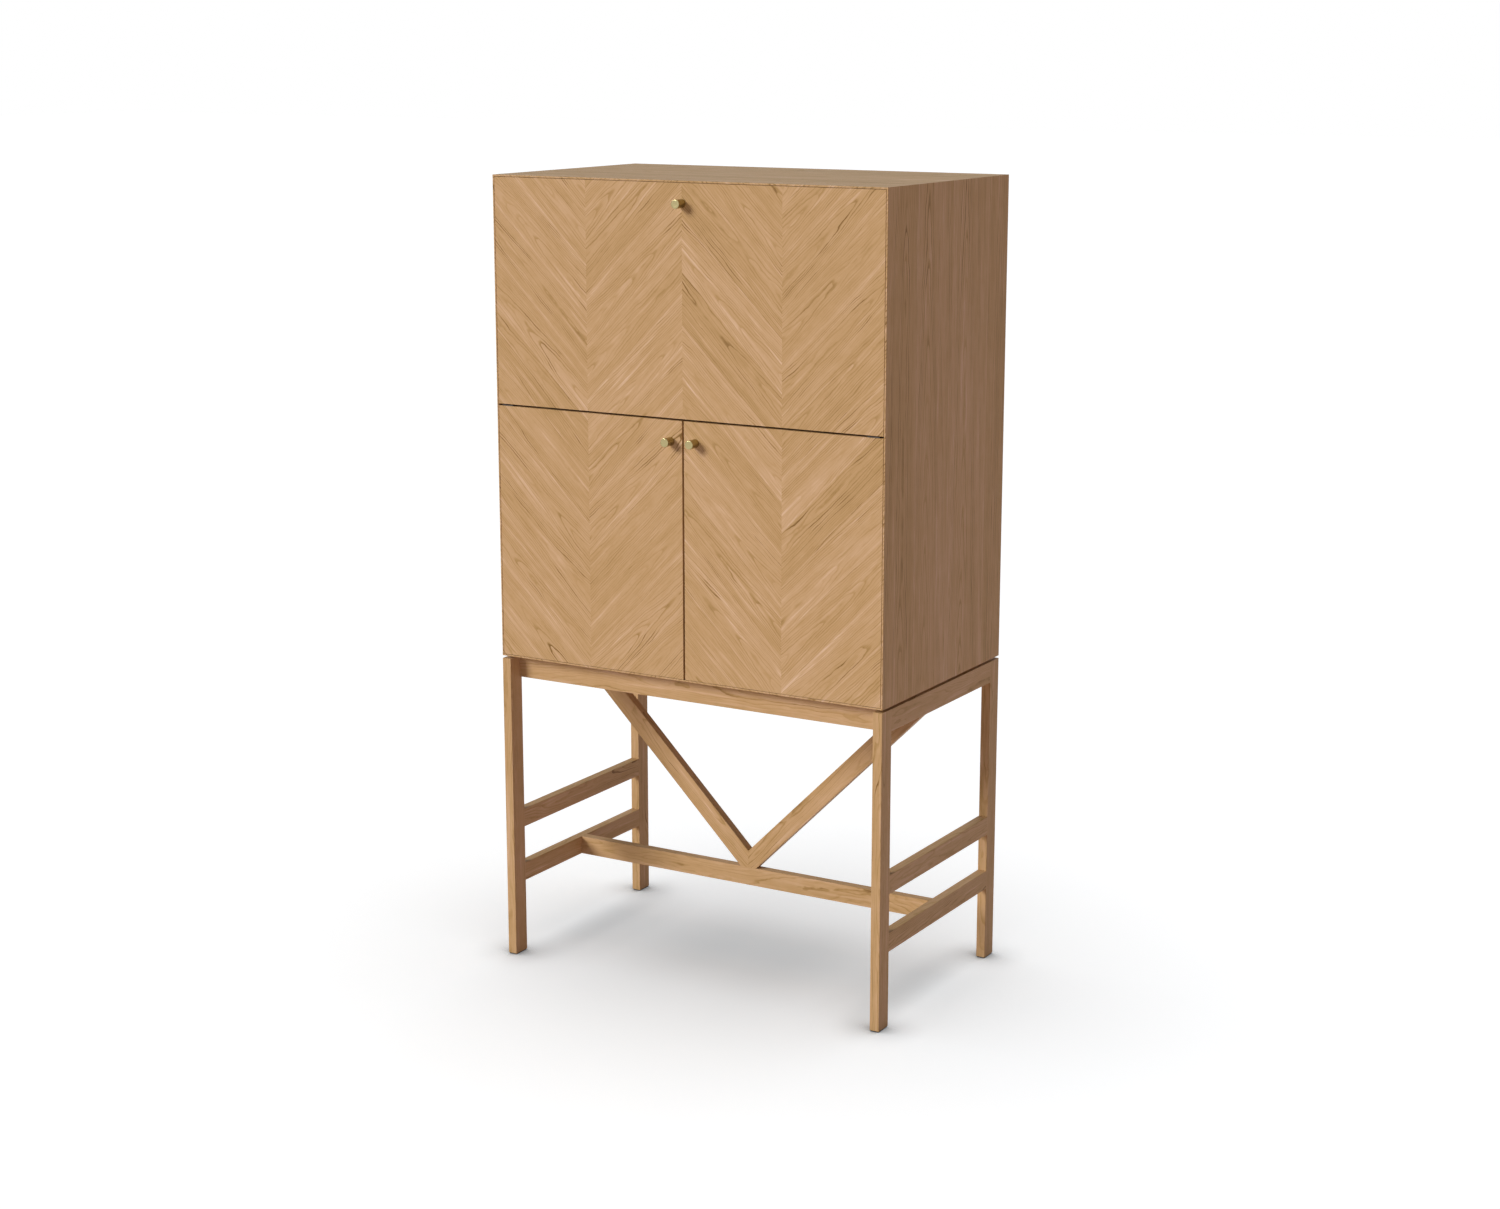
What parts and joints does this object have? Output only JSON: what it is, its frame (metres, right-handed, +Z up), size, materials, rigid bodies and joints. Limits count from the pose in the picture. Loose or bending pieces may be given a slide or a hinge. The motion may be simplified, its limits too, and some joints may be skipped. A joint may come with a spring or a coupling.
{
  "type": "bar cabinet with fold out shelf",
  "caption": "Tall oak bar cabinet: a case with a drop flap that becomes a shelf above a pair of doors, chevron veneer front and brass knobs, on an open legged stand with a V brace.",
  "frame": {"origin": "on the floor, under the centre of the overall bounding box", "axes": "+Z up, +X to the right seen from the front, +Y to the back; the front faces -Y"},
  "size_m": [0.8, 0.492, 1.476],
  "materials": {
    "oak_solid": "oiled",
    "oak_veneer": "oiled",
    "beech": "raw",
    "brass": "satin",
    "steel": "satin",
    "dark_steel": "browned",
    "dark_plastic": "matte"
  },
  "bodies": {
    "case": {"left_front_leg": "oak_solid", "right_front_leg": "oak_solid", "left_back_leg": "oak_solid", "right_back_leg": "oak_solid", "left_upper_rail": "oak_solid", "right_upper_rail": "oak_solid", "left_middle_rail": "oak_solid", "right_middle_rail": "oak_solid", "left_lower_rail": "oak_solid", "right_lower_rail": "oak_solid", "front_rail": "oak_solid", "back_rail": "oak_solid", "centre_stretcher": "oak_solid", "left_brace": "oak_solid", "right_brace": "oak_solid", "left_side_panel": "oak_veneer", "right_side_panel": "oak_veneer", "top_panel": "oak_veneer", "bottom_panel": "oak_veneer", "middle_shelf": "oak_veneer", "back_panel": "oak_veneer", "adjustable_shelf": "oak_veneer", "loose_tenons": "beech", "brace_dowels": "beech", "corner_splines": "beech", "shelf_dowels": "beech", "case_bolts": "steel", "threaded_inserts": "steel", "back_panel_screws": "steel", "shelf_pins": "steel", "flap_hinge_tongues": "steel", "stay_studs": "steel", "fitting_screws": "steel", "door_top_brackets": "dark_steel", "door_bottom_brackets": "dark_steel", "door_pivot_pins": "dark_steel", "foot_glides": "dark_plastic", "case_spacers": "dark_plastic", "flap_catches": "dark_plastic", "door_catches": "dark_plastic"},
    "flap": {"fold_out_shelf": "oak_veneer", "flap_knob": "brass", "flap_screws": "steel", "flap_hinge_leaves": "steel", "flap_hinge_pins": "steel", "flap_strikes": "steel", "stay_brackets": "steel", "stay_rivets": "steel"},
    "left_stay": {"left_stay_arm": "steel"},
    "right_stay": {"right_stay_arm": "steel"},
    "left_leaf": {"left_door": "oak_veneer", "left_door_knob": "brass", "left_door_screws": "steel", "left_door_bushes": "dark_plastic", "left_door_strike": "steel"},
    "right_leaf": {"right_door": "oak_veneer", "right_door_knob": "brass", "right_door_screws": "steel", "right_door_bushes": "dark_plastic", "right_door_strike": "steel"}
  },
  "joints": [
    {"name": "flap_hinge", "type": "hinge", "parent": "case", "child": "flap", "pos_m": [0, -0.217, 1.0775], "axis": [1, 0, 0], "range_deg": [0, 90]},
    {"name": "left_stay_rivet", "type": "hinge", "parent": "flap", "child": "left_stay", "pos_m": [-0.3757, -0.194, 1.32644], "axis": [1, 0, 0], "range_deg": [-45, 0]},
    {"name": "right_stay_rivet", "type": "hinge", "parent": "flap", "child": "right_stay", "pos_m": [0.3757, -0.194, 1.32644], "axis": [1, 0, 0], "range_deg": [-45, 0]},
    {"name": "left_door_pivot", "type": "hinge", "parent": "case", "child": "left_leaf", "pos_m": [-0.38235, -0.22, 0.826], "axis": [0, 0, -1], "range_deg": [0, 110]},
    {"name": "right_door_pivot", "type": "hinge", "parent": "case", "child": "right_leaf", "pos_m": [0.38235, -0.22, 0.826], "axis": [0, 0, 1], "range_deg": [0, 110]}
  ],
  "couplings": [
    {"joint": "left_stay_rivet", "follows": "flap_hinge", "ratio": -0.5},
    {"joint": "right_stay_rivet", "follows": "flap_hinge", "ratio": -0.5}
  ]
}
